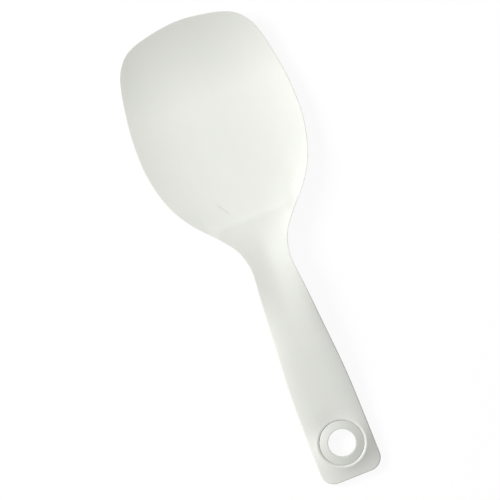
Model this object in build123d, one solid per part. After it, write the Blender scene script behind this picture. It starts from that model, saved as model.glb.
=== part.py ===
from build123d import *

import math
import os

# A moulded rice paddle, lying scoop side up. +Y runs along it to the blade tip, +X to the right
# seen from above, +Z up. The origin is on the surface that it lies on, under the middle of its box.
# A station is a distance along the paddle from the handle end, an offset is one to the side of the
# middle. Lengths are in millimetres.

# Outline, seen from above
total_length = 190.0
blade_width = 66.0
neck_width = 16.3
handle_width = 24.7
blade_widest_station = 144.0
neck_station = 89.0
shoulder_end_share = 0.8
grip_start_share = 0.4
handle_corner_radius = 5.4

# Places on the outline between two of its sizes: share of the way along, share of the change in width
handle_side_shares = ((0.24, 0.025), (0.42, 0.11), (0.60, 0.355), (0.77, 0.615), (0.89, 0.82))
shoulder_shares = (
    (0.07, 0.022), (0.17, 0.098), (0.245, 0.212), (0.335, 0.382), (0.41, 0.535),
    (0.48, 0.655), (0.62, 0.83), (0.76, 0.93), (0.89, 0.984),
)
tip_shares = (
    (0.22, 0.009), (0.39, 0.037), (0.56, 0.079), (0.715, 0.138), (0.805, 0.202),
    (0.876, 0.290), (0.93, 0.425), (0.96, 0.573), (0.98, 0.716),
)

# Middle line of the upper face: share of the total length, slope there, rising towards the tip
centreline_slope_shares = (
    (-0.05, 0.04), (0.08, 0.04), (0.17, 0.11), (0.26, 0.09), (0.35, -0.01), (0.44, -0.09),
    (0.49, -0.15), (0.55, -0.10), (0.60, -0.09), (0.83, 0.01), (1.00, 0.61), (1.05, 0.70),
)
belly_station_share = 0.840

# Scoop: a dish whose sides rise towards the rim
scoop_side_rise = 3.3
scoop_side_power_share = 2.6

# Crease: a fine ridge where the neck runs into the scoop, which fades towards the side edges
crease_station = 108.4
crease_slope_share = 0.09
crease_lip_slope_share = 0.17
crease_lip_length = 2.5
crease_bow = 0.3
crease_sharp_reach = 7.0
crease_reach = 19.0
crease_softness = 0.4
crease_end_softness = 4.5

# Neck: a trough that carries the dish on towards the handle
trough_slope_share = 0.20
trough_bottom_radius = 3.0
trough_full_station = 92.0
trough_start_station = 58.0

# Handle: crowned across, with a hollow underside of the same form
handle_crown = 0.9
handle_crown_power_share = 3.5
crown_full_station = 56.0
crown_end_station = 88.0

# Walls
blade_wall = 2.1
blade_edge_thinning = 0.6
neck_wall = 3.4
handle_wall = 3.0
rim_radius = 0.4

# Hanging hole: a level boss, with a recess for the eyelet in it
hole_diameter = 10.8
hole_station = 14.3
boss_height = 0.6
boss_border = 0.2
boss_slope_length = 8.0
recess_diameter = 17.6
recess_bevel = 0.75
recess_bevel_depth = 0.22
recess_depth = 1.0
web_thickness = 1.9
back_seat_diameter = 16.4

# Eyelet: a domed flange, a barrel through the web and a snap lip behind it
flange_gap = 0.08
flange_rim_height = 0.72
flange_rim_radius = 0.12
flange_dome_rise = 0.8
flange_dome_bulge = 0.04
barrel_wall = 1.6
barrel_clearance = 0.05
lip_reach = 0.5
lip_height = 0.8
lip_lead = 0.35
hole_rim_radius = 0.2

# Grid that the curved faces pass through
skin_margin = 3.0
skin_overrun = 4.0
skin_columns = 17
handle_end_pitch = 2.0
plain_pitch = 4.0
crease_pitch = 1.0
crease_zone = 8.0
skin_tolerance = 0.02
cut_overrun = 20.0

blade_half = blade_width / 2
neck_half = neck_width / 2
handle_half = handle_width / 2
hole_radius = hole_diameter / 2
recess_radius = recess_diameter / 2
bevel_radius = recess_radius + recess_bevel
barrel_radius = hole_radius + barrel_wall


def smooth_step(value, start, finish):
    """Rises smoothly from 0 at start to 1 at finish, which may lie either way."""
    share = min(max((value - start) / (finish - start), 0), 1)
    return share * share * (3 - 2 * share)


def outline_half_width(station):
    """Half width of the paddle as if both of its ends were cut square."""
    shoulder_end = neck_station + (blade_widest_station - neck_station) * shoulder_end_share
    blade_share = smooth_step(station, neck_station, shoulder_end)
    handle_share = smooth_step(station, neck_station, neck_station * grip_start_share)
    blade_gain = (blade_half - neck_half) * blade_share
    return neck_half + blade_gain + (handle_half - neck_half) * handle_share


def centreline_height(station):
    """Height of the middle line over its height at the handle end."""
    height = 0
    for (start_share, start_slope), (end_share, end_slope) in zip(
        centreline_slope_shares, centreline_slope_shares[1:]
    ):
        length = (end_share - start_share) * total_length
        run = min(max(station - start_share * total_length, 0), length)
        height += run * (start_slope + (end_slope - start_slope) * run / length / 2)
    return height


def crease_drop(offset, station, softness):
    """How far the scoop lies below the neck's own slope. It falls fastest right at the crease."""
    past = station - crease_station - crease_bow * (offset / crease_reach) ** 2
    run = (math.hypot(past, softness) + past) / 2
    lip = crease_lip_slope_share * crease_lip_length * (1 - math.exp(-run / crease_lip_length))
    return crease_slope_share * run + lip


def cross_height(offset, station):
    """Height over the middle line, to the side of it."""
    half_width = outline_half_width(station)
    dish = scoop_side_rise * half_width / blade_half * abs(offset / half_width) ** scoop_side_power_share
    trough = trough_slope_share * (math.hypot(offset, trough_bottom_radius) - trough_bottom_radius)
    crown = handle_crown * abs(offset / half_width) ** handle_crown_power_share
    neck_share = smooth_step(station, crease_station, trough_full_station)
    grip_share = smooth_step(station, trough_full_station, trough_start_station)
    crown_share = smooth_step(station, crown_end_station, crown_full_station)
    return (1 - neck_share) * dish + neck_share * (1 - grip_share) * trough - crown_share * crown


def wall_thickness(offset, station):
    """Height of the wall, thickest at the neck and thinning to the rim of the blade."""
    tip_share = smooth_step(station, blade_widest_station, total_length)
    blade = blade_wall - blade_edge_thinning * ((offset / blade_half) ** 2 + tip_share**2)
    neck_share = smooth_step(station, blade_widest_station, neck_station)
    handle_share = smooth_step(station, neck_station, trough_start_station)
    neck_gain = (neck_wall - blade) * neck_share
    return blade + neck_gain + (handle_wall - neck_wall) * handle_share


def plain_underside(offset, station):
    """The underside, before the paddle is laid down on its two resting places."""
    middle = centreline_height(station) - crease_drop(offset, station, crease_end_softness)
    return middle + cross_height(offset, station) - wall_thickness(offset, station)


heel_station = handle_corner_radius
belly_station = belly_station_share * total_length
heel_height = plain_underside(handle_half, heel_station)
belly_height = plain_underside(0, belly_station)


def resting_line(station):
    """Straight line through the two places that the paddle lies on."""
    share = (station - heel_station) / (belly_station - heel_station)
    return heel_height + (belly_height - heel_height) * share


def plain_upper(offset, station):
    """The upper face without the boss."""
    fade = smooth_step(abs(offset), crease_sharp_reach, crease_reach)
    softness = crease_softness + (crease_end_softness - crease_softness) * fade**4
    middle = centreline_height(station) - crease_drop(offset, station, softness)
    return middle + cross_height(offset, station) - resting_line(station)


boss_level = plain_upper(0, hole_station) + boss_height


def upper_height(offset, station):
    """The upper face, with the level boss round the hole."""
    plain = plain_upper(offset, station)
    outside = math.hypot(offset, station - hole_station) - bevel_radius - boss_border
    share = min(max(outside / boss_slope_length, 0), 1)
    return plain + (boss_level - plain) * (1 - share) ** 3


def under_height(offset, station):
    """The underside, at rest."""
    return plain_underside(offset, station) - resting_line(station)


def stations_between(start, finish, pitch):
    """Even stations from start up to but not including finish, about a pitch apart."""
    count = max(round((finish - start) / pitch), 1)
    return [start + (finish - start) * step / count for step in range(count)]


def skin(height):
    """A curved face through a grid of heights that overruns the outline all round."""
    boss_end = hole_station + bevel_radius + boss_slope_length
    crease_start = crease_station - crease_zone
    crease_end = crease_station + crease_zone
    last = total_length + skin_overrun
    stations = stations_between(-skin_overrun, boss_end, handle_end_pitch)
    stations += stations_between(boss_end, crease_start, plain_pitch)
    stations += stations_between(crease_start, crease_end, crease_pitch)
    stations += stations_between(crease_end, last, plain_pitch) + [last]
    rows = []
    for station in stations:
        reach = outline_half_width(station) + skin_margin
        shares = [2 * column / (skin_columns - 1) - 1 for column in range(skin_columns)]
        offsets = [reach * share for share in shares]
        rows.append([(x, station - total_length / 2, height(x, station)) for x in offsets])
    return Face.make_surface_from_array_of_points(rows, tol=skin_tolerance)


def place(half_width, station):
    """A point of the outline's right side."""
    return (half_width, station - total_length / 2)


def side_curve(first, last, shares, start_direction, end_direction):
    """A smooth stretch of the right side."""
    places = [place(*first)]
    for way, change in shares:
        half_width = first[0] + (last[0] - first[0]) * change
        places.append(place(half_width, first[1] + (last[1] - first[1]) * way))
    return Spline(*places, place(*last), tangents=(start_direction, end_direction))


def outline():
    """The paddle seen from above, as a flat face."""
    forwards = (0, 1)
    inwards = (-1, 0)
    corner_end = (handle_half, handle_corner_radius)
    neck = (neck_half, neck_station)
    widest = (blade_half, blade_widest_station)
    tip = (0, total_length)
    flat_half = handle_half - handle_corner_radius
    right = [
        RadiusArc(place(flat_half, 0), place(*corner_end), -handle_corner_radius),
        side_curve(corner_end, neck, handle_side_shares, forwards, forwards),
        side_curve(neck, widest, shoulder_shares, forwards, forwards),
        side_curve(widest, tip, tip_shares, forwards, inwards),
    ]
    left = [curve.mirror(Plane.YZ) for curve in right]
    return make_face([Line(place(-flat_half, 0), place(flat_half, 0)), *right, *left])


def disc(radius, bottom, top):
    """A round block on the axis of the hole."""
    block = Cylinder(radius, top - bottom, align=(Align.CENTER, Align.CENTER, Align.MIN))
    return block.moved(Location((0, hole_station - total_length / 2, bottom)))


def recess_bevel_cutter():
    """A round block that widens upwards and leaves the bevel round the recess."""
    bottom = boss_level - recess_bevel_depth
    rise = recess_bevel_depth + boss_height
    top_radius = recess_radius + rise * recess_bevel / recess_bevel_depth
    block = Cone(recess_radius, top_radius, rise, align=(Align.CENTER, Align.CENTER, Align.MIN))
    return block.moved(Location((0, hole_station - total_length / 2, bottom)))


def rim_edges(solid):
    """The edges where the upper face meets the side wall."""
    reach = rim_radius / 2
    edges = []
    for edge in solid.edges():
        middle = edge @ 0.5
        gap = abs(middle.Z - upper_height(middle.X, middle.Y + total_length / 2))
        climb = abs((edge @ 1).Z - (edge @ 0).Z)
        if gap < reach and climb < edge.length / 2:
            edges.append(edge)
    return edges


recess_floor = boss_level - recess_depth
back_seat = recess_floor - web_thickness


def make_paddle_body():
    """Blade, neck and handle in one piece."""
    body = extrude(outline().moved(Location((0, 0, -cut_overrun))), amount=3 * cut_overrun)
    body -= extrude(skin(upper_height), amount=2 * cut_overrun, dir=(0, 0, 1))
    body = fillet(rim_edges(body), rim_radius)
    body -= extrude(skin(under_height), amount=2 * cut_overrun, dir=(0, 0, -1))
    body -= recess_bevel_cutter()
    body -= disc(recess_radius, recess_floor, boss_level + cut_overrun)
    body -= disc(barrel_radius + barrel_clearance, back_seat - cut_overrun, boss_level)
    body -= disc(back_seat_diameter / 2, back_seat - cut_overrun, back_seat)
    return body


def make_hanging_eyelet():
    """A domed flange in the recess, a barrel through the web and a snap lip behind it."""
    flange_radius = recess_radius - flange_gap
    lip_radius = barrel_radius + barrel_clearance + lip_reach
    bottom = back_seat - lip_height
    rim_top = recess_floor + flange_rim_height
    mouth = (hole_radius, rim_top + flange_dome_rise)
    rim = (flange_radius, rim_top)
    sides = Polyline(
        mouth, (hole_radius, bottom), (lip_radius - lip_lead, bottom), (lip_radius, bottom + lip_lead),
        (lip_radius, back_seat), (barrel_radius, back_seat), (barrel_radius, recess_floor),
        (flange_radius, recess_floor), rim,
    )
    section = make_face([sides, SagittaArc(rim, mouth, -flange_dome_bulge)])
    corners = section.vertices()
    section = fillet(corners.sort_by_distance(rim)[0], flange_rim_radius)
    section = fillet(section.vertices().sort_by_distance(mouth)[0], hole_rim_radius)
    ring = revolve(Plane.XZ * section, axis=Axis.Z)
    return ring.moved(Location((0, hole_station - total_length / 2, 0)))


os.makedirs("parts", exist_ok=True)
for name, shape in (("paddle_body", make_paddle_body()), ("hanging_eyelet", make_hanging_eyelet())):
    export_step(shape, f"parts/{name}.step")
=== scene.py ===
"""Looks of a moulded rice paddle: one white plastic moulding and the ring in its hanging hole.

Sizes are in millimetres unless a name says otherwise. A station is a distance along the paddle from
the handle end, an offset is one to the side of the middle. Meshes are made in metres, in the row
frame: +Y to the blade tip, +X to the right seen from above, +Z up.
"""

from __future__ import annotations

import logging
import math
from dataclasses import dataclass, field
from enum import Enum
from typing import Any, Sequence, Union

import bmesh
import bpy
import numpy as np
from mathutils import Matrix, Vector
from mathutils.geometry import delaunay_2d_cdt

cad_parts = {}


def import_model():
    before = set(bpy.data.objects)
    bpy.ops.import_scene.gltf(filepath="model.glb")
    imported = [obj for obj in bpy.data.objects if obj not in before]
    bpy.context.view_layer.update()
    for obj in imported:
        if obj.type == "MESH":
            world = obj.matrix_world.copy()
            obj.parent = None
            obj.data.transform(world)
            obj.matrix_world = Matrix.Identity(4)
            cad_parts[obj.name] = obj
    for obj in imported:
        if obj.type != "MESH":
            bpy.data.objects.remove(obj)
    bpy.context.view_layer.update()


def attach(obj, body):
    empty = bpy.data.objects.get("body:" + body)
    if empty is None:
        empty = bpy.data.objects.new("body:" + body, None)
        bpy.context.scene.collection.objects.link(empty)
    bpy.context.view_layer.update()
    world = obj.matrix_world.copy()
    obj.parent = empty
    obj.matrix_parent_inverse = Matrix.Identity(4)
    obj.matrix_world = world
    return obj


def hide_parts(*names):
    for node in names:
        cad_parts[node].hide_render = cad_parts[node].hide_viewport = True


MM = 0.001
log = logging.getLogger("rice_paddle")

WHITE = (1.0, 1.0, 1.0, 1.0)
TOWARDS_TIP = (0.0, 1.0)
TOWARDS_MIDDLE = (-1.0, 0.0)

Array = np.ndarray
Number = Union[int, float]
Pair = tuple[float, float]
Triple = tuple[float, float, float]
Value = Union[Number, Sequence[float], "Socket"]


# Shader and geometry nodes


class Socket:
    """An output of a node that can be used in Python sums."""

    def __init__(self, wiring: "Wiring", output: bpy.types.NodeSocket) -> None:
        """Keeps the output and the tree that it belongs to.

        Args:
            wiring: The tree.
            output: The node's output.
        """
        self.wiring = wiring
        self.output = output

    def _math(self, operation: str, first: Value, second: Value = 0.0) -> "Socket":
        """Adds one Math node.

        Args:
            operation: The node's operation.
            first: Its first value.
            second: Its second value.

        Returns:
            The result.
        """
        return self.wiring.node("ShaderNodeMath", {"operation": operation}, {0: first, 1: second})

    def __add__(self, other: Value) -> "Socket":
        """self + other"""
        return self._math("ADD", self, other)

    def __radd__(self, other: Value) -> "Socket":
        """other + self"""
        return self._math("ADD", other, self)

    def __sub__(self, other: Value) -> "Socket":
        """self - other"""
        return self._math("SUBTRACT", self, other)

    def __rsub__(self, other: Value) -> "Socket":
        """other - self"""
        return self._math("SUBTRACT", other, self)

    def __mul__(self, other: Value) -> "Socket":
        """self * other"""
        return self._math("MULTIPLY", self, other)

    def __rmul__(self, other: Value) -> "Socket":
        """other * self"""
        return self._math("MULTIPLY", other, self)

    def __abs__(self) -> "Socket":
        """abs(self)"""
        return self._math("ABSOLUTE", self)

    def ramp(self, start: float, finish: float) -> "Socket":
        """A smooth step from 0 at start to 1 at finish.

        Args:
            start: Value that gives 0.
            finish: Value that gives 1, on either side of start.

        Returns:
            The step.
        """
        settings = {"interpolation_type": "SMOOTHSTEP"}
        if start < finish:
            inputs = {"Value": self, "From Min": start, "From Max": finish, "To Min": 0.0, "To Max": 1.0}
        else:
            inputs = {"Value": self, "From Min": finish, "From Max": start, "To Min": 1.0, "To Max": 0.0}
        return self.wiring.node("ShaderNodeMapRange", settings, inputs)


class Wiring:
    """A node tree in the making."""

    def __init__(self, tree: bpy.types.NodeTree) -> None:
        """Starts with an empty tree.

        Args:
            tree: The tree, whose nodes are removed.
        """
        self.tree = tree
        tree.nodes.clear()

    @staticmethod
    def _find(sockets: Any, key: Union[int, str]) -> bpy.types.NodeSocket:
        """Looks a socket up.

        Args:
            sockets: A node's inputs or outputs.
            key: Place, identifier or name.

        Returns:
            The socket.
        """
        if isinstance(key, int):
            return sockets[key]
        for socket in sockets:
            if socket.identifier == key:
                return socket
        return sockets[key]

    def node(
        self,
        kind: str,
        settings: dict[str, Any] | None = None,
        inputs: dict[Union[int, str], Value] | None = None,
        out: Union[int, str] = 0,
    ) -> Socket:
        """Adds a node, sets it up and links it.

        Args:
            kind: The node's type.
            settings: Its own settings, such as its operation, set first.
            inputs: Values or links of its input sockets.
            out: Which output to give back.

        Returns:
            That output.
        """
        made = self.tree.nodes.new(kind)
        for name, setting in (settings or {}).items():
            setattr(made, name, setting)
        for key, value in (inputs or {}).items():
            socket = self._find(made.inputs, key)
            if isinstance(value, Socket):
                self.tree.links.new(value.output, socket)
            else:
                socket.default_value = value
        return Socket(self, self._find(made.outputs, out) if made.outputs else None)

    def mix(self, share: Value, first: Value, second: Value) -> Socket:
        """Mixes two colours.

        Args:
            share: How much of the second there is.
            first: First colour.
            second: Second colour.

        Returns:
            The mixed colour.
        """
        inputs = {"Factor_Float": share, "A_Color": first, "B_Color": second}
        return self.node("ShaderNodeMix", {"data_type": "RGBA"}, inputs, "Result_Color")

    def position(self) -> tuple[Socket, Socket, Socket]:
        """Object coordinates.

        Returns:
            The whole vector, then its x and y.
        """
        place = self.node("ShaderNodeTexCoord", out="Object")
        split = self.node("ShaderNodeSeparateXYZ", None, {0: place})
        outputs = split.output.node.outputs
        return place, Socket(self, outputs["X"]), Socket(self, outputs["Y"])

    def stretched(self, place: Socket, scale: Triple, turn: float = 0.0) -> Socket:
        """Coordinates that draw a pattern out along one axis.

        Args:
            place: The coordinates.
            scale: What each axis is multiplied by.
            turn: Turn about the upright axis, in radians.

        Returns:
            The new coordinates.
        """
        inputs = {"Vector": place, "Rotation": (0.0, 0.0, turn), "Scale": scale}
        return self.node("ShaderNodeMapping", None, inputs)

    def noise(self, place: Socket, scale: float, detail: float) -> Socket:
        """Noise over a surface.

        Args:
            place: Where to look it up.
            scale: Cells to one unit of the coordinates.
            detail: How many finer layers it has.

        Returns:
            The noise, from 0 to 1.
        """
        return self.node("ShaderNodeTexNoise", None, {"Vector": place, "Scale": scale, "Detail": detail})

    def backdrop_rays(self) -> Socket:
        """Rays that meet the white background.

        Returns:
            1 for camera, glossy and transmission rays, 0 for those that light the object.
        """
        camera = self.node("ShaderNodeLightPath", out="Is Camera Ray")
        outputs = camera.output.node.outputs
        glossy = Socket(self, outputs["Is Glossy Ray"])
        clear = Socket(self, outputs["Is Transmission Ray"])
        settings = {"operation": "ADD", "use_clamp": True}
        return self.node("ShaderNodeMath", settings, {0: camera + glossy, 1: clear})


# Finishes


@dataclass(frozen=True)
class Mark:
    """A short scuff on a surface, with its place and sizes in metres.

    depth is the share of the colour that it takes away. Its line is full over two shares of its
    width and length, and noise between broken_from and broken_to breaks it up.
    """

    x: float
    y: float
    turn: float
    length: float
    width: float
    depth: float
    full_width_share: float = 0.15
    full_length_share: float = 0.28
    ragged_scale: float = 900.0
    broken_from: float = 0.25
    broken_to: float = 0.55
    roughening: float = 0.15
    relief: float = 2.0

    def mask(self, wiring: Wiring) -> Socket:
        """1 on the scuff, 0 off it.

        Args:
            wiring: The material's tree.

        Returns:
            The mask.
        """
        place, x, y = wiring.position()
        cos, sin = math.cos(self.turn), math.sin(self.turn)
        along = (x - self.x) * cos + (y - self.y) * sin
        across = (y - self.y) * cos - (x - self.x) * sin
        ragged = wiring.noise(place, self.ragged_scale, detail=2.0)
        across = across + (ragged - 0.5) * self.width
        body = abs(across).ramp(self.width, self.width * self.full_width_share)
        ends = abs(along).ramp(self.length / 2, self.length * self.full_length_share)
        return body * ends * ragged.ramp(self.broken_from, self.broken_to)


@dataclass(frozen=True)
class MouldedPlastic:
    """A milky moulded plastic: satin skin with a fine grain, faint flow clouds and painted shade at the
    handle end.

    Scales are in cells to the metre, and heights and places in metres. A band is the stretch of
    noise over which a pattern comes up. The share of the colour taken away towards the handle end is
    painted shade, for the weaker light there.
    """

    name: str
    colour: Triple
    cloud: Triple
    roughness: float
    grain_height: float
    handle_end_shade: float = 0.0
    marks: tuple[Mark, ...] = ()
    handle_end_shade_from: float = -60.0 * MM
    handle_end_shade_full: float = -84.0 * MM
    cloud_scale: float = 38.0
    cloud_band: Pair = (0.3, 0.7)
    cloud_weight: float = 0.6
    cloud_roughness: float = 0.10
    flow_scale: Triple = (260.0, 30.0, 260.0)
    grain_scale: float = 5200.0
    grain_roughness: float = 0.06
    hairline_scale: Triple = (3200.0, 130.0, 3200.0)
    hairline_turn: float = 0.5
    hairline_band: Pair = (0.66, 0.74)
    hairline_patch_band: Pair = (0.42, 0.6)
    hairline_roughness: float = 0.05
    hairline_relief: float = 0.5
    refraction: float = 1.49
    translucence: float = 0.12
    glow_reach: float = 1.5 * MM
    glow_tint: Triple = (1.0, 0.95, 0.8)

    def _darker(self, share: float) -> tuple[float, ...]:
        """The colour with a share of it taken away."""
        return tuple(part * (1.0 - share) for part in self.colour) + (1.0,)

    def material(self) -> bpy.types.Material:
        """Builds the material.

        Returns:
            The material.
        """
        made = bpy.data.materials.new(self.name)
        made.use_nodes = True
        wiring = Wiring(made.node_tree)
        place, _, y = wiring.position()

        clouds = wiring.noise(place, self.cloud_scale, detail=3.0)
        drawn = wiring.stretched(place, self.flow_scale)
        flow = wiring.noise(drawn, scale=1.0, detail=2.0)
        grain = wiring.noise(place, self.grain_scale, detail=3.0)
        combed = wiring.stretched(place, self.hairline_scale, self.hairline_turn)
        hair = wiring.noise(combed, scale=1.0, detail=1.0)
        hairlines = hair.ramp(*self.hairline_band) * clouds.ramp(*self.hairline_patch_band)

        clouded = clouds.ramp(*self.cloud_band) * self.cloud_weight
        streaked = flow.ramp(*self.cloud_band) * (1.0 - self.cloud_weight)
        colour = wiring.mix(clouded + streaked, self.colour + (1.0,), self.cloud + (1.0,))
        # Painted shade: the colour darkens towards the handle end, where the lamp's light is weaker.
        painted_handle_shade = y.ramp(self.handle_end_shade_from, self.handle_end_shade_full)
        colour = wiring.mix(painted_handle_shade, colour, self._darker(self.handle_end_shade))
        roughness = self.roughness + (clouds - 0.5) * self.cloud_roughness
        roughness = roughness + (grain - 0.5) * self.grain_roughness
        roughness = roughness + hairlines * self.hairline_roughness
        relief = grain - hairlines * self.hairline_relief
        for mark in self.marks:
            scuff = mark.mask(wiring)
            colour = wiring.mix(scuff, colour, self._darker(mark.depth))
            roughness = roughness + scuff * mark.roughening
            relief = relief - scuff * mark.relief
        bump = wiring.node(
            "ShaderNodeBump", None, {"Strength": 1.0, "Distance": self.grain_height, "Height": relief}
        )
        shader = wiring.node(
            "ShaderNodeBsdfPrincipled",
            {"subsurface_method": "RANDOM_WALK"},
            {
                "Base Color": colour,
                "Roughness": roughness,
                "Normal": bump,
                "IOR": self.refraction,
                "Subsurface Weight": self.translucence,
                "Subsurface Radius": self.glow_tint,
                "Subsurface Scale": self.glow_reach,
            },
        )
        wiring.node("ShaderNodeOutputMaterial", None, {"Surface": shader})
        return made


@dataclass(frozen=True)
class PaleGround:
    """The floor's paint: white where the camera looks, a pale matt board for the light.

    share is how much of the white the camera sees. The rest is the board, which takes the shadow.
    """

    name: str = "pale_ground"
    board: float = 0.80
    roughness: float = 0.9
    glow: float = 1.03
    share: float = 0.90

    def material(self) -> bpy.types.Material:
        """Builds the material.

        Returns:
            The material.
        """
        made = bpy.data.materials.new(self.name)
        made.use_nodes = True
        wiring = Wiring(made.node_tree)
        matt = wiring.node(
            "ShaderNodeBsdfPrincipled",
            None,
            {
                "Base Color": (self.board, self.board, self.board, 1.0),
                "Roughness": self.roughness,
                "Specular IOR Level": 0.0,
            },
        )
        white = wiring.node("ShaderNodeEmission", None, {"Color": WHITE, "Strength": self.glow})
        seen = wiring.backdrop_rays()
        both = wiring.node("ShaderNodeMixShader", None, {0: seen * self.share, 1: matt, 2: white})
        wiring.node("ShaderNodeOutputMaterial", None, {"Surface": both})
        return made


# Form of the paddle


class Face(Enum):
    """The two broad faces of the paddle."""

    UPPER = 1
    UNDER = -1


def smooth_step(value: Array, start: float, finish: float) -> Array:
    """Rises smoothly from 0 at start to 1 at finish.

    Args:
        value: Where to look.
        start: Value that gives 0.
        finish: Value that gives 1, on either side of start.

    Returns:
        The step.
    """
    share = np.clip((value - start) / (finish - start), 0.0, 1.0)
    return share * share * (3.0 - 2.0 * share)


def smooth_path(places: Sequence[Pair], start: Pair, finish: Pair, steps: int) -> Array:
    """A smooth curve through places, with given directions at its ends.

    Args:
        places: Points that the curve passes through.
        start: Unit direction at the first place.
        finish: Unit direction at the last place.
        steps: How many even steps it is divided into.

    Returns:
        steps + 1 points.
    """
    points = np.array(places, float)
    knots = np.concatenate(([0.0], np.cumsum(np.linalg.norm(np.diff(points, axis=0), axis=1))))
    spans = np.diff(knots)
    count = len(points)
    matrix = np.eye(count)
    right = np.zeros((count, 2))
    right[0], right[-1] = start, finish
    for i in range(1, count - 1):
        matrix[i, i - 1 : i + 2] = (spans[i], 2 * (spans[i - 1] + spans[i]), spans[i - 1])
        rise_before = (points[i] - points[i - 1]) / spans[i - 1]
        rise_after = (points[i + 1] - points[i]) / spans[i]
        right[i] = 3 * (spans[i] * rise_before + spans[i - 1] * rise_after)
    slopes = np.linalg.solve(matrix, right)
    where = np.linspace(0.0, knots[-1], steps + 1)
    span = np.clip(np.searchsorted(knots, where, side="right") - 1, 0, count - 2)
    t = ((where - knots[span]) / spans[span])[:, None]
    h = spans[span][:, None]
    return (
        (2 * t**3 - 3 * t**2 + 1) * points[span]
        + (t**3 - 2 * t**2 + t) * h * slopes[span]
        + (3 * t**2 - 2 * t**3) * points[span + 1]
        + (t**3 - t**2) * h * slopes[span + 1]
    )


@dataclass(frozen=True)
class PaddleForm:
    """The form of the moulding: its outline and the heights of its two faces.

    Lengths are in millimetres. The shares of a side are (way along it, change to the side), and
    those of the centreline are (station, slope there). corner_fineness is for the points of the
    outline: how many a corner gets for each pitch of its radius.
    """

    total_length: float = 190.0
    blade_width: float = 66.0
    neck_width: float = 16.3
    handle_width: float = 24.7
    blade_widest_station: float = 144.0
    neck_station: float = 89.0
    shoulder_end_share: float = 0.8
    grip_start_share: float = 0.4
    handle_corner_radius: float = 5.4
    corner_fineness: float = 2.5
    handle_side_shares: tuple[Pair, ...] = (
        (0.24, 0.025), (0.42, 0.11), (0.60, 0.355), (0.77, 0.615), (0.89, 0.82),
    )
    shoulder_shares: tuple[Pair, ...] = (
        (0.07, 0.022), (0.17, 0.098), (0.245, 0.212), (0.335, 0.382), (0.41, 0.535),
        (0.48, 0.655), (0.62, 0.83), (0.76, 0.93), (0.89, 0.984),
    )
    tip_shares: tuple[Pair, ...] = (
        (0.22, 0.009), (0.39, 0.037), (0.56, 0.079), (0.715, 0.138), (0.805, 0.202),
        (0.876, 0.290), (0.93, 0.425), (0.96, 0.573), (0.98, 0.716),
    )
    centreline_slope_shares: tuple[Pair, ...] = (
        (-0.05, 0.04), (0.08, 0.04), (0.17, 0.11), (0.26, 0.09), (0.35, -0.01), (0.44, -0.09),
        (0.49, -0.15), (0.55, -0.10), (0.60, -0.09), (0.83, 0.01), (1.00, 0.61), (1.05, 0.70),
    )
    belly_station_share: float = 0.840
    scoop_side_rise: float = 3.3
    scoop_side_power_share: float = 2.6
    crease_station: float = 108.4
    crease_slope_share: float = 0.09
    crease_lip_slope_share: float = 0.17
    crease_lip_length: float = 2.5
    crease_bow: float = 0.3
    crease_sharp_reach: float = 7.0
    crease_reach: float = 19.0
    crease_softness: float = 0.4
    crease_end_softness: float = 4.5
    trough_slope_share: float = 0.20
    trough_bottom_radius: float = 3.0
    trough_full_station: float = 92.0
    trough_start_station: float = 58.0
    handle_crown: float = 0.9
    handle_crown_power_share: float = 3.5
    crown_full_station: float = 56.0
    crown_end_station: float = 88.0
    blade_wall: float = 2.1
    blade_edge_thinning: float = 0.6
    neck_wall: float = 3.4
    handle_wall: float = 3.0
    hole_station: float = 14.3
    boss_height: float = 0.6
    boss_border: float = 0.2
    boss_slope_length: float = 8.0
    recess_radius: float = 8.8
    recess_bevel: float = 0.75

    def outline_half_width(self, station: Array) -> Array:
        """Half width as if both ends were cut square.

        Args:
            station: Distance from the handle end.

        Returns:
            The half width.
        """
        neck, blade, handle = self.neck_width / 2, self.blade_width / 2, self.handle_width / 2
        shoulder = self.blade_widest_station - self.neck_station
        wide_from = self.neck_station + shoulder * self.shoulder_end_share
        blade_share = smooth_step(station, self.neck_station, wide_from)
        handle_share = smooth_step(station, self.neck_station, self.neck_station * self.grip_start_share)
        return neck + (blade - neck) * blade_share + (handle - neck) * handle_share

    def centreline_height(self, station: Array) -> Array:
        """Height of the middle line over its height at the handle end.

        Args:
            station: Distance from the handle end.

        Returns:
            The height.
        """
        height = np.zeros_like(station, dtype=float)
        table = self.centreline_slope_shares
        for (start_share, start_slope), (end_share, end_slope) in zip(table, table[1:]):
            length = (end_share - start_share) * self.total_length
            run = np.clip(station - start_share * self.total_length, 0.0, length)
            height = height + run * (start_slope + (end_slope - start_slope) * run / length / 2)
        return height

    def crease_drop(self, offset: Array, station: Array, softness: Array) -> Array:
        """How far the scoop's side of the crease lies below the neck's own slope.

        Args:
            offset: Distance to the side.
            station: Distance from the handle end.
            softness: Radius of the crease.

        Returns:
            The drop.
        """
        past = station - self.crease_station - self.crease_bow * (offset / self.crease_reach) ** 2
        run = (np.hypot(past, softness) + past) / 2
        lip = self.crease_lip_slope_share * self.crease_lip_length
        return self.crease_slope_share * run + lip * (1 - np.exp(-run / self.crease_lip_length))

    def cross_height(self, offset: Array, station: Array) -> Array:
        """Height over the middle line, to the side of it.

        Args:
            offset: Distance to the side.
            station: Distance from the handle end.

        Returns:
            The height.
        """
        half = self.outline_half_width(station)
        share = np.abs(offset / half)
        dish = self.scoop_side_rise * half / (self.blade_width / 2) * share**self.scoop_side_power_share
        bottom = self.trough_bottom_radius
        trough = self.trough_slope_share * (np.hypot(offset, bottom) - bottom)
        crown = self.handle_crown * share**self.handle_crown_power_share
        neck_share = smooth_step(station, self.crease_station, self.trough_full_station)
        grip_share = smooth_step(station, self.trough_full_station, self.trough_start_station)
        crown_share = smooth_step(station, self.crown_end_station, self.crown_full_station)
        return (1 - neck_share) * dish + neck_share * (1 - grip_share) * trough - crown_share * crown

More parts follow.
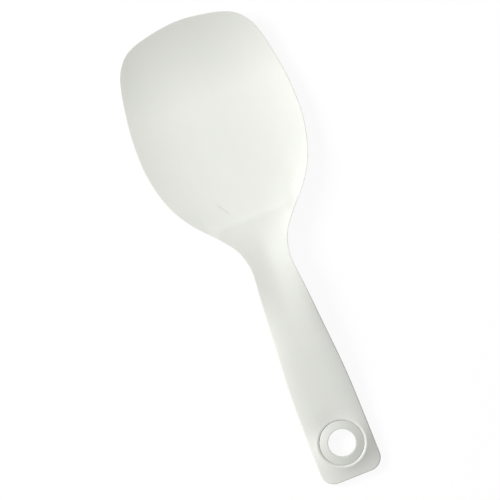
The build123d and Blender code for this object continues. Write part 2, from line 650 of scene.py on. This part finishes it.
    def wall_thickness(self, offset: Array, station: Array) -> Array:
        """Height of the wall.

        Args:
            offset: Distance to the side.
            station: Distance from the handle end.

        Returns:
            The height, thickest at the neck and thinning to the rim of the blade.
        """
        tip_share = smooth_step(station, self.blade_widest_station, self.total_length)
        thinning = (offset / (self.blade_width / 2)) ** 2 + tip_share**2
        blade = self.blade_wall - self.blade_edge_thinning * thinning
        neck_share = smooth_step(station, self.blade_widest_station, self.neck_station)
        handle_share = smooth_step(station, self.neck_station, self.trough_start_station)
        to_neck = (self.neck_wall - blade) * neck_share
        to_handle = (self.handle_wall - self.neck_wall) * handle_share
        return blade + to_neck + to_handle

    def plain_underside(self, offset: Array, station: Array) -> Array:
        """The underside before the paddle is laid down.

        Args:
            offset: Distance to the side.
            station: Distance from the handle end.

        Returns:
            Its height.
        """
        drop = self.crease_drop(offset, station, self.crease_end_softness)
        across = self.cross_height(offset, station) - self.wall_thickness(offset, station)
        return self.centreline_height(station) - drop + across

    def resting_line(self, station: Array) -> Array:
        """Straight line through the two places that the paddle lies on.

        Args:
            station: Distance from the handle end.

        Returns:
            Its height.
        """
        heel = self.handle_corner_radius
        belly = self.belly_station_share * self.total_length
        heel_height = self.plain_underside(np.array(self.handle_width / 2), np.array(heel))
        belly_height = self.plain_underside(np.array(0.0), np.array(belly))
        return heel_height + (belly_height - heel_height) * (station - heel) / (belly - heel)

    def plain_upper(self, offset: Array, station: Array) -> Array:
        """The upper face without the boss.

        Args:
            offset: Distance to the side.
            station: Distance from the handle end.

        Returns:
            Its height.
        """
        fade = smooth_step(np.abs(offset), self.crease_sharp_reach, self.crease_reach)
        softness = self.crease_softness + (self.crease_end_softness - self.crease_softness) * fade**4
        drop = self.crease_drop(offset, station, softness)
        lie = self.resting_line(station)
        return self.centreline_height(station) - drop + self.cross_height(offset, station) - lie

    @property
    def boss_level(self) -> float:
        """Height of the level boss round the hole."""
        return float(self.plain_upper(np.array(0.0), np.array(self.hole_station))) + self.boss_height

    @property
    def boss_radius(self) -> float:
        """Radius at which the level boss ends."""
        return self.recess_radius + self.recess_bevel + self.boss_border

    def height(self, face: Face, offset: Array, station: Array) -> Array:
        """Height of a face of the paddle at rest.

        Args:
            face: Which face.
            offset: Distance to the side.
            station: Distance from the handle end.

        Returns:
            The height.
        """
        if face is Face.UNDER:
            return self.plain_underside(offset, station) - self.resting_line(station)
        plain = self.plain_upper(offset, station)
        outside = np.hypot(offset, station - self.hole_station) - self.boss_radius
        share = np.clip(outside / self.boss_slope_length, 0.0, 1.0)
        return plain + (self.boss_level - plain) * (1 - share) ** 3

    @staticmethod
    def _side(first: Pair, last: Pair, shares: tuple[Pair, ...], finish: Pair, pitch: float) -> Array:
        """A smooth stretch of the right side, which sets off towards the tip.

        Args:
            first: Where it starts, as (offset, station).
            last: Where it ends.
            shares: Places between, as (way along, change to the side).
            finish: Unit direction at its end.
            pitch: Rough distance between points.

        Returns:
            Its points.
        """
        to_side, way = last[0] - first[0], last[1] - first[1]
        between = [(first[0] + to_side * change, first[1] + way * along) for along, change in shares]
        steps = round(math.dist(first, last) / pitch)
        return smooth_path([first, *between, last], TOWARDS_TIP, finish, steps)

    def outline(self, pitch: float) -> tuple[Array, Array]:
        """The paddle seen from above.

        Args:
            pitch: Rough distance between points.

        Returns:
            Points (offset, station) anticlockwise from the middle of the handle end, and the
            direction into the paddle at each.
        """
        half, corner = self.handle_width / 2, self.handle_corner_radius
        flat = half - corner
        handle = (half, corner)
        neck = (self.neck_width / 2, self.neck_station)
        widest = (self.blade_width / 2, self.blade_widest_station)
        tip = (0.0, self.total_length)
        flat_steps = round(flat / pitch)
        turn = np.linspace(-math.pi / 2, 0.0, round(corner * self.corner_fineness / pitch) + 1)
        right = np.vstack((
            np.column_stack((np.linspace(0.0, flat, flat_steps + 1), np.zeros(flat_steps + 1)))[:-1],
            np.column_stack((flat + corner * np.cos(turn), corner + corner * np.sin(turn)))[:-1],
            self._side(handle, neck, self.handle_side_shares, TOWARDS_TIP, pitch)[:-1],
            self._side(neck, widest, self.shoulder_shares, TOWARDS_TIP, pitch)[:-1],
            self._side(widest, tip, self.tip_shares, TOWARDS_MIDDLE, pitch),
        ))
        left = right[-2:0:-1] * (-1.0, 1.0)
        points = np.vstack((right, left))
        along = np.roll(points, -1, axis=0) - np.roll(points, 1, axis=0)
        along /= np.linalg.norm(along, axis=1)[:, None]
        return points, np.column_stack((-along[:, 1], along[:, 0]))


# Meshes


def inside(points: Array, loop: Array) -> Array:
    """Which points lie in a closed loop.

    Args:
        points: Points to test.
        loop: The loop's points.

    Returns:
        True for each that does.
    """
    x, y = points[:, 0][:, None], points[:, 1][:, None]
    ax, ay = loop[:, 0], loop[:, 1]
    bx, by = np.roll(ax, -1), np.roll(ay, -1)
    crosses = (ay > y) != (by > y)
    rise = np.where(by == ay, 1.0, by - ay)
    left = x < (bx - ax) * (y - ay) / rise + ax
    return (np.logical_and(crosses, left).sum(axis=1) % 2) == 1


class MeshDraft:
    """Vertices and faces gathered loop by loop, in millimetres, y as a station.

    The capitals are for covering a face: only triangles inside the loops are made, places nearer
    than the weld distance are one, and triangles smaller than the least area are left out.
    """

    INSIDE_LOOPS = 1
    WELD_DISTANCE = 1e-5
    LEAST_AREA = 1e-9

    def __init__(self) -> None:
        """Starts empty."""
        self.vertices: list[tuple[float, float, float]] = []
        self.faces: list[tuple[int, ...]] = []

    def add(self, x: Array, y: Array, z: Array) -> list[int]:
        """Adds vertices.

        Args:
            x: Offsets.
            y: Stations.
            z: Heights.

        Returns:
            Their numbers.
        """
        first = len(self.vertices)
        self.vertices.extend(zip(map(float, x), map(float, y), map(float, z)))
        return list(range(first, len(self.vertices)))

    def strip(self, first: Sequence[int], second: Sequence[int], turned: bool = False) -> None:
        """Joins two closed loops with quads.

        Args:
            first: One loop, anticlockwise seen from above.
            second: The next, further from the middle of what is covered, with as many vertices.
            turned: True where the second lies further in, as in a hole.
        """
        count = len(first)
        for i in range(count):
            j = (i + 1) % count
            quad = (first[i], second[i], second[j], first[j])
            self.faces.append(quad[::-1] if turned else quad)

    def fill(self, outer: Sequence[int], hole: Sequence[int], inner: Sequence[int], face: Face) -> None:
        """Covers a face between two loops with triangles.

        Args:
            outer: The loop round it.
            hole: The loop of a hole in it.
            inner: Loose vertices between them.
            face: Which way it looks.
        """
        numbers = [*outer, *hole, *inner]
        flat = [Vector(self.vertices[number][:2]) for number in numbers]
        edges = [(i, (i + 1) % len(outer)) for i in range(len(outer))]
        first = len(outer)
        edges += [(first + i, first + (i + 1) % len(hole)) for i in range(len(hole))]
        places, _, triangles, origins, _, _ = delaunay_2d_cdt(
            flat, edges, [], self.INSIDE_LOOPS, self.WELD_DISTANCE
        )
        coords = np.array([tuple(place) for place in places])
        corners = np.array([tuple(triangle) for triangle in triangles])
        a, b, c = (coords[corners[:, i]] for i in range(3))
        ab, ac = b - a, c - a
        area = (ab[:, 0] * ac[:, 1] - ab[:, 1] * ac[:, 0]) / 2
        rim_of_hole = np.array([tuple(place) for place in flat[first : first + len(hole)]])
        in_hole = inside((a + b + c) / 3, rim_of_hole)
        for corner, dropped, size in zip(corners, in_hole, area):
            if dropped or abs(size) < self.LEAST_AREA:
                continue
            triangle = tuple(numbers[origins[number][0]] for number in corner)
            upwards = size > 0
            self.faces.append(triangle if upwards == (face is Face.UPPER) else triangle[::-1])

    def object(self, name: str, material: bpy.types.Material, shift: Triple) -> bpy.types.Object:
        """Makes the object, in metres.

        Args:
            name: Its name.
            material: Its finish.
            shift: Added to every vertex, in millimetres.

        Returns:
            The object, linked to the scene.
        """
        mesh = bpy.data.meshes.new(name)
        places = (np.array(self.vertices) + shift) * MM
        mesh.from_pydata([tuple(place) for place in places], [], self.faces)
        mesh.validate()
        mesh.polygons.foreach_set("use_smooth", [True] * len(mesh.polygons))
        mesh.materials.append(material)
        mesh.update()
        made = bpy.data.objects.new(name, mesh)
        bpy.context.scene.collection.objects.link(made)
        return made


def clear_of(points: Array, others: Array, gap: float, batch: int = 64) -> Array:
    """Which points keep a distance from others.

    Args:
        points: Points to test.
        others: What they keep clear of.
        gap: The distance.
        batch: How many of the others are tested at a time, to spare memory.

    Returns:
        True for each that does.
    """
    nearest = np.full(len(points), np.inf)
    for start in range(0, len(others), batch):
        part = others[start : start + batch]
        reach = np.linalg.norm(points[:, None, :] - part[None, :, :], axis=2)
        nearest = np.minimum(nearest, reach.min(axis=1))
    return nearest > gap


# Pieces


@dataclass
class PaddleBody:
    """Blade, neck and handle in one moulding.

    Pitches are distances between vertices, finer in a band on each side of the crease. The boss
    steps are loops outside the level boss, and the bevel shares are (width, drop) on its way down.
    """

    finish: MouldedPlastic
    form: PaddleForm = field(default_factory=PaddleForm)
    rim_radius: float = 0.4
    blade_rim_share: float = 0.45
    rim_inset_shares: tuple[float, ...] = (3.2, 2.0, 1.35)
    rim_steps: int = 6
    outline_pitch: float = 1.0
    face_pitch: float = 1.1
    crease_pitch: float = 0.4
    crease_band: float = 3.0
    rim_clear_share: float = 0.55
    hole_clear_share: float = 0.5
    recess_depth: float = 1.0
    recess_bevel_depth: float = 0.22
    web_thickness: float = 1.9
    bore_radius: float = 7.05
    back_seat_radius: float = 8.2
    edge_break: float = 0.12
    ring_steps: int = 144
    boss_steps: tuple[float, ...] = (0.6, 0.3, 0.12, 0.0)
    bevel_shares: tuple[Pair, ...] = ((0.85, 0.13), (0.12, 0.9))
    bevel_top_share: float = 0.2
    bevel_foot_share: float = 0.5

    def _rim(self, draft: MeshDraft, face: Face) -> list[list[int]]:
        """Loops round one edge of the paddle, from the face outwards.

        Args:
            draft: The mesh in the making.
            face: Which edge.

        Returns:
            The loops.
        """
        form = self.form
        points, inwards = form.outline(self.outline_pitch)
        blade_share = smooth_step(points[:, 1], form.trough_start_station, form.neck_station)
        radius = self.rim_radius * (1.0 - (1.0 - self.blade_rim_share) * blade_share)
        loops = []
        for inset in self.rim_inset_shares:
            place = points + inwards * inset * self.rim_radius
            height = form.height(face, place[:, 0], place[:, 1])
            loops.append(draft.add(place[:, 0], place[:, 1], height))
        for turn in np.radians(np.linspace(0.0, 90.0, self.rim_steps + 1)):
            place = points + inwards * radius[:, None] * (1.0 - math.sin(turn))
            height = form.height(face, place[:, 0], place[:, 1])
            height = height - face.value * radius * (1.0 - math.cos(turn))
            loops.append(draft.add(place[:, 0], place[:, 1], height))
        return loops

    def _circle(self, radius: float) -> tuple[Array, Array]:
        """Offsets and stations evenly round the hole."""
        turn = np.linspace(0.0, 2 * math.pi, self.ring_steps, endpoint=False)
        return radius * np.cos(turn), self.form.hole_station + radius * np.sin(turn)

    def _ring(self, draft: MeshDraft, radius: float, height: float) -> list[int]:
        """A level loop round the hole.

        Args:
            draft: The mesh in the making.
            radius: Its radius.
            height: Its height.

        Returns:
            The loop.
        """
        x, y = self._circle(radius)
        return draft.add(x, y, np.full_like(x, height))

    def _face_ring(self, draft: MeshDraft, face: Face, radius: float, lift: float = 0.0) -> list[int]:
        """A loop round the hole that follows a face.

        Args:
            draft: The mesh in the making.
            face: Which face.
            radius: Its radius.
            lift: How far it lies over the face.

        Returns:
            The loop.
        """
        x, y = self._circle(radius)
        return draft.add(x, y, self.form.height(face, x, y) + lift)

    def _field(self, draft: MeshDraft, face: Face, rim: Sequence[int], hole_radius: float) -> list[int]:
        """Loose vertices that a face passes through.

        Args:
            draft: The mesh in the making.
            face: Which face.
            rim: Loop round them.
            hole_radius: Radius round the hole that they stay out of.

        Returns:
            The vertices.
        """
        form, pitch = self.form, self.face_pitch
        loop = np.array([draft.vertices[number][:2] for number in rim])
        stations = list(np.arange(pitch, form.total_length, pitch))
        crease, band = form.crease_station, self.crease_band
        near = (crease - band, crease + form.crease_bow + band)
        stations = [station for station in stations if not near[0] < station < near[1]]
        stations += list(np.arange(near[0], near[1], self.crease_pitch))
        reach = form.blade_width / 2
        rows = []
        for row, station in enumerate(sorted(stations)):
            start = -reach + (pitch / 2 if row % 2 else 0.0)
            offsets = np.arange(start, reach, pitch)
            rows.append(np.column_stack((offsets, np.full(len(offsets), station))))
        points = np.vstack(rows)
        points = points[inside(points, loop)]
        points = points[clear_of(points, loop, self.rim_clear_share * pitch)]
        from_hole = np.hypot(points[:, 0], points[:, 1] - form.hole_station)
        points = points[from_hole > hole_radius + self.hole_clear_share * pitch]
        return draft.add(points[:, 0], points[:, 1], form.height(face, points[:, 0], points[:, 1]))

    def build(self) -> bpy.types.Object:
        """Builds the closed mesh.

        Returns:
            The dressed piece.
        """
        form, draft, soft = self.form, MeshDraft(), self.edge_break
        upper, under = self._rim(draft, Face.UPPER), self._rim(draft, Face.UNDER)
        chain = upper + under[::-1]
        for first, second in zip(chain, chain[1:]):
            draft.strip(first, second)

        level = form.boss_level
        floor = level - self.recess_depth
        seat = floor - self.web_thickness
        recess, bore, back = form.recess_radius, self.bore_radius, self.back_seat_radius
        bevel, drop = form.recess_bevel, self.recess_bevel_depth
        top_ring = self._ring(draft, recess + bevel + soft, level)
        bottom_ring = self._face_ring(draft, Face.UNDER, back + soft)
        slope_radii = [form.boss_radius + step for step in self.boss_steps]
        slope_rings = [self._face_ring(draft, Face.UPPER, radius) for radius in slope_radii]
        bevel_rings = [
            self._ring(draft, recess + wide * bevel, level - deep * drop) for wide, deep in self.bevel_shares
        ]
        rings = [
            *slope_rings,
            top_ring,
            self._ring(draft, recess + bevel, level - self.bevel_top_share * soft),
            *bevel_rings,
            self._ring(draft, recess, level - drop - self.bevel_foot_share * soft),
            self._ring(draft, recess, floor + soft),
            self._ring(draft, recess - soft, floor),
            self._ring(draft, bore + soft, floor),
            self._ring(draft, bore, floor - soft),
            self._ring(draft, bore, seat + soft),
            self._ring(draft, bore + soft, seat),
            self._ring(draft, back - soft, seat),
            self._ring(draft, back, seat - soft),
            self._face_ring(draft, Face.UNDER, back, soft),
            bottom_ring,
        ]
        for first, second in zip(rings, rings[1:]):
            draft.strip(first, second, turned=True)

        for face, rim, ring, radius in (
            (Face.UPPER, upper[0], slope_rings[0], slope_radii[0]),
            (Face.UNDER, under[0], bottom_ring, back + soft),
        ):
            draft.fill(rim, ring, self._field(draft, face, rim, radius), face)
        return draft.object("paddle_moulding", self.finish.material(), (0.0, -form.total_length / 2, 0.0))


@dataclass
class HangingEyelet:
    """The ring in the hanging hole: a section swept round the hole's axis."""

    finish: MouldedPlastic
    seat_floor: float
    hole_station_from_middle: float
    hole_radius: float = 5.4
    flange_radius: float = 8.72
    flange_rim_height: float = 0.72
    flange_dome_rise: float = 0.8
    flange_dome_bulge: float = 0.04
    barrel_radius: float = 7.0
    lip_radius: float = 7.55
    web_thickness: float = 1.9
    lip_height: float = 0.8
    lip_lead: float = 0.35
    flange_rim_radius: float = 0.12
    hole_rim_radius: float = 0.2
    small_radius: float = 0.1
    dome_shares: tuple[float, ...] = (0.15, 0.3, 0.45, 0.6, 0.75)
    rim_steps: int = 7
    small_steps: int = 2
    turns: int = 160
    weld: float = 1e-4

    def section(self) -> Array:
        """The ring's section, as (radius, height) from the recess floor.

        Returns:
            Points of a closed loop.
        """
        back = -self.web_thickness
        bottom = back - self.lip_height
        rim = np.array((self.flange_radius, self.flange_rim_height))
        mouth = np.array((self.hole_radius, self.flange_rim_height + self.flange_dome_rise))
        chord = mouth - rim
        up = np.array((-chord[1], chord[0]))
        up = up / np.linalg.norm(up) * (1.0 if up[1] > 0 else -1.0)
        dome = [
            rim + chord * share + up * self.flange_dome_bulge * 4 * share * (1 - share)
            for share in self.dome_shares
        ]
        small = self.small_radius
        corners = [
            (self.hole_radius, bottom, small),
            (self.lip_radius - self.lip_lead, bottom, small),
            (self.lip_radius, bottom + self.lip_lead, small),
            (self.lip_radius, back, small),
            (self.barrel_radius, back, small),
            (self.barrel_radius, 0.0, small),
            (self.flange_radius, 0.0, small),
            (rim[0], rim[1], self.flange_rim_radius),
            *((place[0], place[1], 0.0) for place in dome),
            (mouth[0], mouth[1], self.hole_rim_radius),
        ]
        points: list[Array] = []
        for i, (radius, height, rounding) in enumerate(corners):
            corner = np.array((radius, height))
            before = np.array(corners[i - 1][:2]) - corner
            after = np.array(corners[(i + 1) % len(corners)][:2]) - corner
            if rounding == 0.0:
                points.append(corner)
                continue
            before /= np.linalg.norm(before)
            after /= np.linalg.norm(after)
            half = math.acos(np.clip(before @ after, -1.0, 1.0)) / 2
            leg = rounding / math.tan(half)
            steps = self.small_steps if rounding == small else self.rim_steps
            start, finish = corner + before * leg, corner + after * leg
            centre = corner + (before + after) / np.linalg.norm(before + after) * rounding / math.sin(half)
            for share in np.linspace(0.0, 1.0, steps + 1):
                place = start + (finish - start) * share - centre
                points.append(centre + place / np.linalg.norm(place) * rounding)
        return np.array(points)

    def _tree(self, material: bpy.types.Material) -> bpy.types.NodeTree:
        """Geometry Nodes that sweep a section round a circle.

        Args:
            material: The ring's finish.

        Returns:
            The tree, with the inputs Sweep Radius and Turns.
        """
        tree = bpy.data.node_groups.new("ring_sweep", "GeometryNodeTree")
        face = tree.interface
        face.new_socket("Section", in_out="INPUT", socket_type="NodeSocketGeometry")
        face.new_socket("Sweep Radius", in_out="INPUT", socket_type="NodeSocketFloat")
        face.new_socket("Turns", in_out="INPUT", socket_type="NodeSocketInt")
        face.new_socket("Ring", in_out="OUTPUT", socket_type="NodeSocketGeometry")
        wiring = Wiring(tree)
        section = wiring.node("NodeGroupInput", out="Section")
        sweep = Socket(wiring, section.output.node.outputs["Sweep Radius"])
        turns = Socket(wiring, section.output.node.outputs["Turns"])
        profile = wiring.node("GeometryNodeMeshToCurve", None, {"Mesh": section})
        path = wiring.node(
            "GeometryNodeCurvePrimitiveCircle", {"mode": "RADIUS"}, {"Resolution": turns, "Radius": sweep}
        )
        swept = wiring.node("GeometryNodeCurveToMesh", None, {"Curve": path, "Profile Curve": profile})
        smooth = wiring.node("GeometryNodeSetShadeSmooth", None, {"Geometry": swept})
        real = wiring.node("GeometryNodeRealizeInstances", None, {"Geometry": smooth})
        dressed = wiring.node("GeometryNodeSetMaterial", None, {"Geometry": real, "Material": material})
        wiring.node("NodeGroupOutput", None, {"Ring": dressed})
        return tree

    def build(self) -> bpy.types.Object:
        """Builds the ring and puts it in its place.

        Returns:
            The dressed piece.
        """
        material = self.finish.material()
        section = self.section()
        sweep = self.hole_radius
        profile = bpy.data.meshes.new("ring_section")
        count = len(section)
        # The sweep turns the section over, so its heights go in with their sign changed.
        places = [((radius - sweep) * MM, -height * MM, 0.0) for radius, height in section]
        profile.from_pydata(places, [(i, (i + 1) % count) for i in range(count)], [])
        carrier = bpy.data.objects.new("ring_section", profile)
        bpy.context.scene.collection.objects.link(carrier)
        modifier = carrier.modifiers.new("sweep", "NODES")
        tree = self._tree(material)
        modifier.node_group = tree
        sizes = {"Sweep Radius": sweep * MM, "Turns": self.turns}
        for item in tree.interface.items_tree:
            if item.item_type == "SOCKET" and item.in_out == "INPUT" and item.name in sizes:
                modifier[item.identifier] = sizes[item.name]
        graph = bpy.context.evaluated_depsgraph_get()
        mesh = bpy.data.meshes.new_from_object(carrier.evaluated_get(graph))
        bpy.data.objects.remove(carrier)
        mesh.name = "eyelet_ring"

        work = bmesh.new()
        work.from_mesh(mesh)
        bmesh.ops.remove_doubles(work, verts=work.verts, dist=self.weld * MM)
        middle = (0.0, self.hole_station_from_middle * MM, self.seat_floor * MM)
        bmesh.ops.translate(work, verts=work.verts, vec=middle)
        bmesh.ops.recalc_face_normals(work, faces=work.faces)
        for part in work.faces:
            part.smooth = True
        work.to_mesh(mesh)
        work.free()
        made = bpy.data.objects.new("eyelet_ring", mesh)
        bpy.context.scene.collection.objects.link(made)
        return made


# Studio


@dataclass
class Studio:
    """Floor, lamp, sky and camera.

    The view's sizes and the floor's drop are in millimetres, and the lamp's, the floor's reach and
    what the camera can see near and far are in metres.
    """

    turn: float = math.radians(21.55)
    view_middle: tuple[float, float] = (-5.68, 2.0)
    view_width: float = 194.0
    view_plane: float = 6.0
    lens: float = 400.0
    sensor: float = 36.0
    nearest: float = 0.01
    furthest: float = 20.0
    lamp_turn: float = math.radians(147.0)
    lamp_rise: float = math.radians(41.0)
    lamp_distance: float = 1.3
    lamp_size: float = 0.55
    lamp_power: float = 16.9
    sky: float = 0.33
    floor_reach: float = 3.0
    floor_drop: float = 0.03

    def camera(self) -> None:
        """Camera straight above, turned as the photograph is."""
        data = bpy.data.cameras.new("view")
        data.lens, data.sensor_width = self.lens, self.sensor
        data.clip_start, data.clip_end = self.nearest, self.furthest
        made = bpy.data.objects.new("view", data)
        bpy.context.scene.collection.objects.link(made)
        distance = self.view_width * MM * self.lens / self.sensor
        across = Vector((math.cos(self.turn), -math.sin(self.turn), 0.0))
        up = Vector((math.sin(self.turn), math.cos(self.turn), 0.0))
        matrix = Matrix.Identity(4)
        for row in range(3):
            matrix[row][0], matrix[row][1] = across[row], up[row]
            matrix[row][2] = 1.0 if row == 2 else 0.0
        matrix.translation = Vector(
            (self.view_middle[0] * MM, self.view_middle[1] * MM, distance + self.view_plane * MM)
        )
        made.matrix_world = matrix
        bpy.context.scene.camera = made

    def lamp(self) -> None:
        """One large soft lamp from the side."""
        data = bpy.data.lights.new("window", "AREA")
        data.shape, data.size, data.energy = "SQUARE", self.lamp_size, self.lamp_power
        made = bpy.data.objects.new("window", data)
        bpy.context.scene.collection.objects.link(made)
        flat = math.cos(self.lamp_rise) * self.lamp_distance
        made.location = (
            flat * math.cos(self.lamp_turn),
            flat * math.sin(self.lamp_turn),
            math.sin(self.lamp_rise) * self.lamp_distance,
        )
        made.rotation_euler = (-made.location).to_track_quat("-Z", "Y").to_euler()

    def world(self) -> None:
        """Even light from all round, white where the camera looks past the floor."""
        world = bpy.data.worlds.new("even_light")
        bpy.context.scene.world = world
        world.use_nodes = True
        wiring = Wiring(world.node_tree)
        soft = wiring.node("ShaderNodeBackground", None, {"Color": WHITE, "Strength": self.sky})
        white = wiring.node("ShaderNodeBackground", None, {"Color": WHITE, "Strength": 1.0})
        seen = wiring.backdrop_rays()
        both = wiring.node("ShaderNodeMixShader", None, {0: seen, 1: soft, 2: white})
        wiring.node("ShaderNodeOutputWorld", None, {"Surface": both})

    def floor(self) -> None:
        """A wide pale floor under the paddle."""
        mesh = bpy.data.meshes.new("floor")
        reach, level = self.floor_reach, -self.floor_drop * MM
        corners = ((-reach, -reach), (reach, -reach), (reach, reach), (-reach, reach))
        mesh.from_pydata([(x, y, level) for x, y in corners], [], [(0, 1, 2, 3)])
        mesh.materials.append(PaleGround().material())
        made = bpy.data.objects.new("floor", mesh)
        bpy.context.scene.collection.objects.link(made)

    def build(self) -> None:
        """Sets everything up."""
        self.camera()
        self.lamp()
        self.world()
        self.floor()
        bpy.context.scene.view_settings.view_transform = "Standard"


def main() -> None:
    """Builds the pieces in order and says what they hold."""
    logging.basicConfig(level=logging.INFO, format="%(name)s: %(message)s")
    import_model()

    scuff = Mark(
        x=-9.4 * MM, y=20.2 * MM, turn=math.radians(-58.0), length=7.2 * MM, width=0.4 * MM, depth=0.17
    )
    body_finish = MouldedPlastic(
        name="body_plastic",
        colour=(0.806, 0.813, 0.768),
        cloud=(0.785, 0.798, 0.750),
        roughness=0.46,
        grain_height=0.008 * MM,
        # Painted shade towards the handle end, where the light is weaker.
        handle_end_shade=0.06,
        marks=(scuff,),
    )
    # The ring's colour is the body plastic darkened: painted shade for the weaker light at the handle end.
    ring_finish_with_shade = MouldedPlastic(
        name="eyelet_plastic",
        colour=(0.692, 0.703, 0.660),
        cloud=(0.678, 0.690, 0.647),
        roughness=0.42,
        grain_height=0.006 * MM,
    )

    body = PaddleBody(body_finish)
    moulding = body.build()
    level = body.form.boss_level
    eyelet = HangingEyelet(
        ring_finish_with_shade,
        seat_floor=level - body.recess_depth,
        hole_station_from_middle=body.form.hole_station - body.form.total_length / 2,
    )
    ring = eyelet.build()
    for piece, node, slot in (
        (moulding, "paddle_body", "body_plastic"),
        (ring, "hanging_eyelet", "eyelet_plastic"),
    ):
        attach(piece, "root")
        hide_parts(node)
        faces = sum(len(polygon.vertices) - 2 for polygon in piece.data.polygons)
        log.info("%s: %d triangles, rides on root, stands for %s", piece.name, faces, node)

    Studio().build()


if __name__ == "__main__":
    main()
